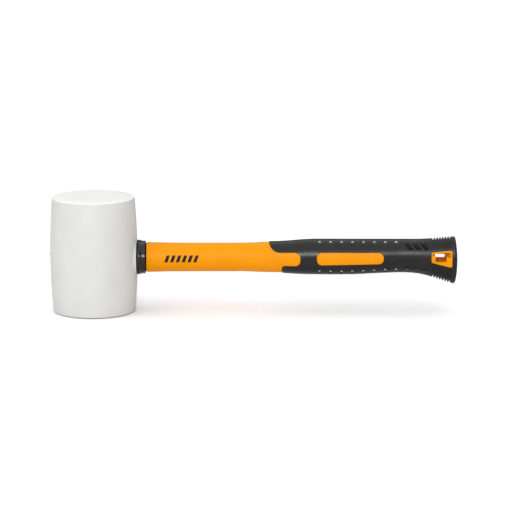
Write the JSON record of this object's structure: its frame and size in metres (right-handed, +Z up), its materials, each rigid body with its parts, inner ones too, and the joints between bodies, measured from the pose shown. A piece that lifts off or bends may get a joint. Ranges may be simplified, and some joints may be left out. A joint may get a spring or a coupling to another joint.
{
  "type": "rubber mallet",
  "caption": "Rubber mallet: a white barrel-shaped rubber head on an orange fibreglass-cored handle with a black overmoulded grip, flared pommel and hang hole.",
  "frame": {"origin": "centre of the lower striking face", "axes": "+Z up along the head's axis, +X along the handle from the head to the pommel, XZ the mallet's plane of symmetry"},
  "size_m": [0.3313, 0.071, 0.095],
  "materials": {
    "white_rubber": "matte moulded rubber",
    "orange_plastic": "satin moulded polypropylene",
    "black_grip": "matte thermoplastic rubber",
    "black_collar": "satin moulded plastic",
    "black_print": "pad-printed ink",
    "fibreglass": "pultruded glass fibre in resin",
    "epoxy": "cured epoxy resin"
  },
  "bodies": {
    "root": {"rubber_head": "white_rubber", "head_bond": "epoxy", "collar": "black_collar", "core_rod": "fibreglass", "handle_jacket": "orange_plastic", "grip_sleeve": "black_grip"}
  },
  "joints": []
}
